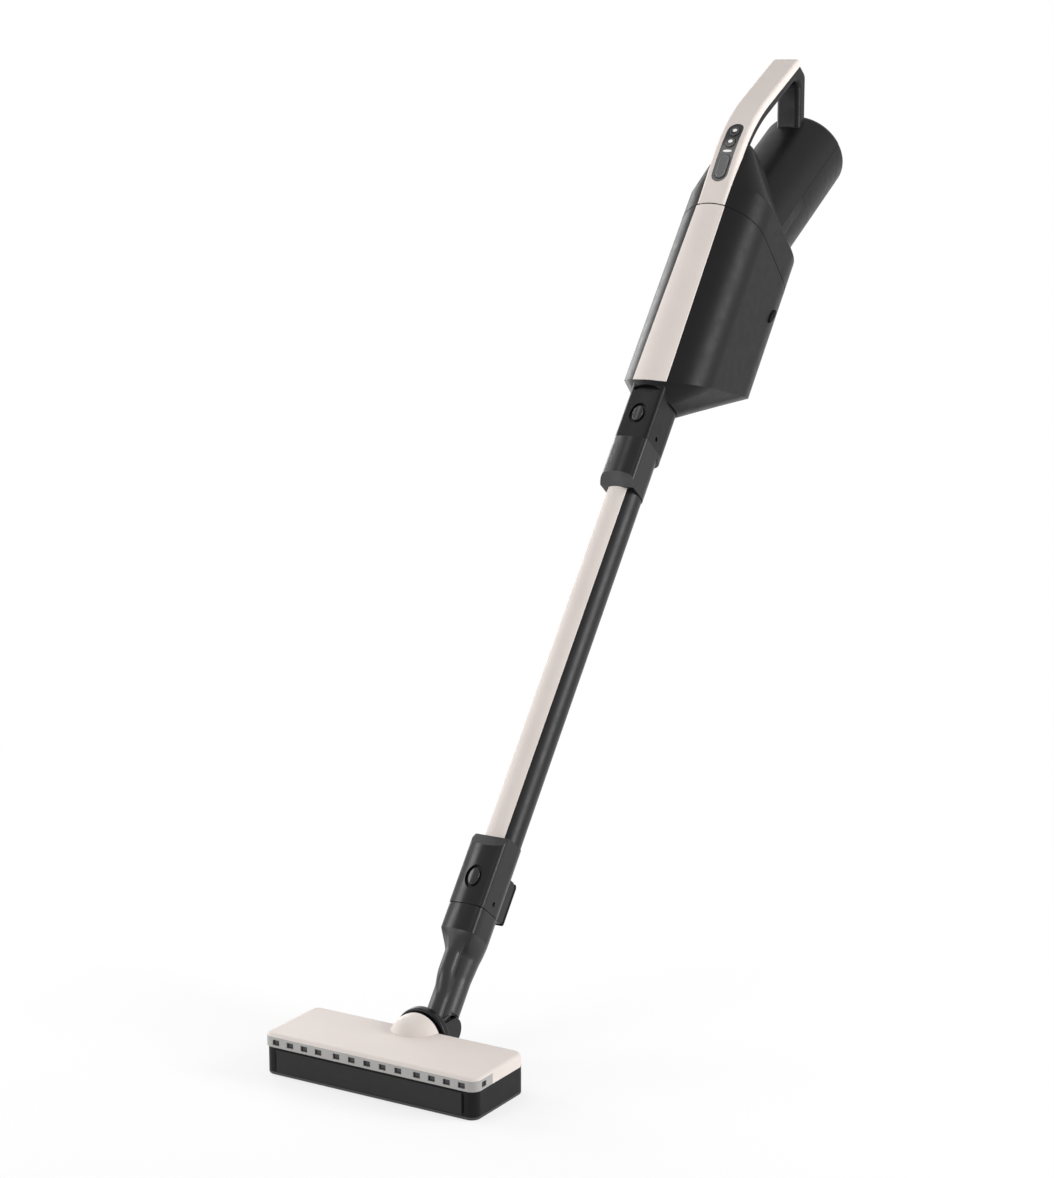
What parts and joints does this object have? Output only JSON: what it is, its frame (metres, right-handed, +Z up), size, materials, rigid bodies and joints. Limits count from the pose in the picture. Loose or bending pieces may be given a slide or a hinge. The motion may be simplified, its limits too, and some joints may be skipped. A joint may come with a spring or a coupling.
{
  "type": "cordless stick vacuum cleaner",
  "caption": "Cordless stick vacuum: wide floor head on a swivel neck, slim wand, round-ended dust cup and a motor unit with removable battery and loop handle.",
  "frame": {"origin": "on the floor, under the middle of the floor head", "axes": "+X to the right across the head seen from behind the handle, +Y from the head towards the handle, +Z up"},
  "size_m": [0.22, 0.8523, 0.8753],
  "materials": {
    "cream_plastic": "satin, lightly textured",
    "charcoal_plastic": "satin",
    "charcoal_metal": "satin paint",
    "gloss_black": "gloss",
    "grey_rubber": "matte",
    "black_rubber": "matte",
    "sole_plastic": "matte",
    "steel": "bright",
    "light_metal": "satin",
    "brush_fabric": "soft",
    "filter_paper": "pleated",
    "board": "board",
    "brass": "bright"
  },
  "bodies": {
    "main_unit": {"main_housing": "charcoal_plastic", "handle_cover": "cream_plastic", "handle_grip": "charcoal_plastic", "control_panel": "gloss_black", "control_board": "board", "suction_motor": "light_metal", "motor_mount": "black_rubber", "intake_grille": "sole_plastic", "battery_terminals": "brass"},
    "battery": {"battery_pack": "charcoal_plastic", "battery_cells": "light_metal"},
    "battery_release": {"battery_latch": "gloss_black"},
    "fan": {"suction_fan": "sole_plastic"},
    "power_switch": {"power_key": "gloss_black"},
    "low_mode_switch": {"low_mode_key": "gloss_black"},
    "high_mode_switch": {"high_mode_key": "gloss_black"},
    "cup": {"dust_cup": "charcoal_plastic", "cup_seal": "black_rubber", "cup_strip": "cream_plastic", "inlet_pipe": "sole_plastic", "filter_tray": "sole_plastic", "mesh_screen": "steel", "pleated_filter": "filter_paper", "wand_button_spring": "steel"},
    "left_latch": {"left_cup_latch": "gloss_black"},
    "right_latch": {"right_cup_latch": "gloss_black"},
    "wand_release": {"wand_release_button": "gloss_black"},
    "wand": {"wand_tube": "charcoal_metal", "wand_strip": "cream_plastic", "wand_lower_socket": "charcoal_plastic", "wand_hook_pad": "black_rubber", "wand_upper_collar": "charcoal_plastic", "wand_plug": "charcoal_plastic", "head_button_spring": "steel"},
    "head_release": {"head_release_button": "gloss_black"},
    "neck": {"neck": "charcoal_plastic"},
    "yoke": {"swivel_yoke": "charcoal_plastic", "swivel_clip": "sole_plastic", "neck_pins": "steel"},
    "head": {"head_base": "charcoal_plastic", "head_cover": "cream_plastic", "front_bumper": "grey_rubber", "front_flap": "black_rubber", "sole_plate": "sole_plastic", "head_screws": "steel", "left_roll_bush": "sole_plastic", "right_roll_bush": "sole_plastic", "brush_motor": "light_metal", "drive_belt": "black_rubber", "wheel_axles": "steel", "swivel_bearing": "sole_plastic"},
    "roll": {"brush_roll": "brush_fabric"},
    "drive": {"motor_pulley": "steel"},
    "left_wheel": {"left_wheel": "black_rubber"},
    "right_wheel": {"right_wheel": "black_rubber"}
  },
  "joints": [
    {"name": "battery_slide", "type": "slide", "parent": "main_unit", "child": "battery", "axis": [0, 0.8587, 0.5125], "range_m": [0, 0.11]},
    {"name": "battery_latch_press", "type": "slide", "parent": "battery", "child": "battery_release", "axis": [0, -0.5125, 0.8587], "range_m": [0, 0.0015], "stiffness_N_per_m": 800},
    {"name": "fan_spin", "type": "hinge", "parent": "main_unit", "child": "fan", "pos_m": [0, 0.68205, 0.71537], "axis": [0, 0.8587, 0.5125], "continuous": true},
    {"name": "power_press", "type": "slide", "parent": "main_unit", "child": "power_switch", "axis": [0, 0.7926, -0.6097], "range_m": [0, 0.001], "stiffness_N_per_m": 900},
    {"name": "low_mode_press", "type": "slide", "parent": "main_unit", "child": "low_mode_switch", "axis": [0, 0.7926, -0.6097], "range_m": [0, 0.001], "stiffness_N_per_m": 900},
    {"name": "high_mode_press", "type": "slide", "parent": "main_unit", "child": "high_mode_switch", "axis": [0, 0.7926, -0.6097], "range_m": [0, 0.001], "stiffness_N_per_m": 900},
    {"name": "cup_slide", "type": "slide", "parent": "main_unit", "child": "cup", "axis": [0, -0.6097, -0.7926], "range_m": [0, 0.1]},
    {"name": "left_latch_press", "type": "slide", "parent": "cup", "child": "left_latch", "axis": [1, 0, 0], "range_m": [0, 0.0015], "stiffness_N_per_m": 900},
    {"name": "right_latch_press", "type": "slide", "parent": "cup", "child": "right_latch", "axis": [-1, 0, 0], "range_m": [0, 0.0015], "stiffness_N_per_m": 900},
    {"name": "wand_release_press", "type": "slide", "parent": "cup", "child": "wand_release", "axis": [0, 0.7926, -0.6097], "range_m": [0, 0.0025], "stiffness_N_per_m": 900},
    {"name": "wand_slide", "type": "slide", "parent": "cup", "child": "wand", "axis": [0, -0.6097, -0.7926], "range_m": [0, 0.06]},
    {"name": "head_release_press", "type": "slide", "parent": "wand", "child": "head_release", "axis": [0, 0.7926, -0.6097], "range_m": [0, 0.0025], "stiffness_N_per_m": 900},
    {"name": "neck_slide", "type": "slide", "parent": "wand", "child": "neck", "axis": [0, -0.6097, -0.7926], "range_m": [0, 0.06]},
    {"name": "head_tilt", "type": "hinge", "parent": "neck", "child": "yoke", "pos_m": [0, 0.07, 0.028], "axis": [1, 0, 0], "range_deg": [-37.5, 45]},
    {"name": "head_swivel", "type": "hinge", "parent": "yoke", "child": "head", "pos_m": [0, 0.045, 0.028], "axis": [0, 1, 0], "range_deg": [-45, 45]},
    {"name": "roll_spin", "type": "hinge", "parent": "head", "child": "roll", "pos_m": [0, -0.021, 0.016], "axis": [1, 0, 0], "continuous": true},
    {"name": "motor_spin", "type": "hinge", "parent": "head", "child": "drive", "pos_m": [0.0985, 0.015, 0.017], "axis": [1, 0, 0], "continuous": true},
    {"name": "left_wheel_spin", "type": "hinge", "parent": "head", "child": "left_wheel", "pos_m": [-0.076, 0.0295, 0.007], "axis": [1, 0, 0], "continuous": true},
    {"name": "right_wheel_spin", "type": "hinge", "parent": "head", "child": "right_wheel", "pos_m": [0.076, 0.0295, 0.007], "axis": [1, 0, 0], "continuous": true}
  ],
  "couplings": [
    {"joint": "motor_spin", "follows": "roll_spin", "ratio": 1.75}
  ]
}
